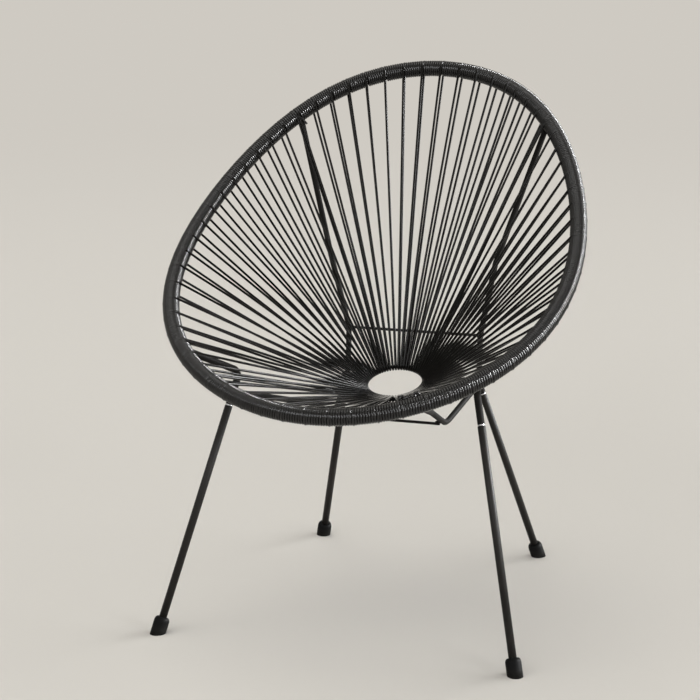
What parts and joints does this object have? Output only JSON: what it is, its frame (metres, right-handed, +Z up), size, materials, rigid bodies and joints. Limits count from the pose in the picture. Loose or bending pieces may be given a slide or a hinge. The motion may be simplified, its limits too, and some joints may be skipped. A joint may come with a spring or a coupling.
{
  "type": "acapulco chair",
  "caption": "Egg-shaped lounge chair: a cord-wrapped tube hoop strung with cord to a small ring under the seat, on welded side rails and splayed screw-in legs with moulded feet.",
  "frame": {"origin": "on the floor under the middle of the hoop, half way between its front and its top", "axes": "+Z up, the sitter faces -Y, +X to the sitter's left"},
  "size_m": [0.6954, 0.7179, 0.8922],
  "materials": {
    "frame_steel": "satin black powder coat",
    "zinc": "bright zinc plate",
    "foot_plastic": "moulded black plastic, faintly glossy",
    "pvc_cord": "semi-gloss extruded PVC, near black"
  },
  "bodies": {
    "root": {"hoop_tube": "frame_steel", "centre_ring": "frame_steel", "side_rail_left": "frame_steel", "side_rail_right": "frame_steel", "back_tie_rod": "frame_steel", "base_tie_rod": "frame_steel", "front_socket_left": "frame_steel", "front_socket_right": "frame_steel", "rear_socket_left": "frame_steel", "rear_socket_right": "frame_steel", "front_leg_left": "frame_steel", "front_leg_right": "frame_steel", "rear_leg_left": "frame_steel", "rear_leg_right": "frame_steel", "front_collar_left": "zinc", "front_collar_right": "zinc", "rear_collar_left": "zinc", "rear_collar_right": "zinc", "front_foot_left": "foot_plastic", "front_foot_right": "foot_plastic", "rear_foot_left": "foot_plastic", "rear_foot_right": "foot_plastic", "lacing_01": "pvc_cord", "lacing_02": "pvc_cord", "lacing_03": "pvc_cord", "lacing_04": "pvc_cord", "lacing_05": "pvc_cord", "lacing_06": "pvc_cord", "lacing_07": "pvc_cord", "lacing_08": "pvc_cord", "lacing_09": "pvc_cord", "lacing_10": "pvc_cord", "lacing_11": "pvc_cord", "lacing_12": "pvc_cord", "lacing_13": "pvc_cord"}
  },
  "joints": []
}
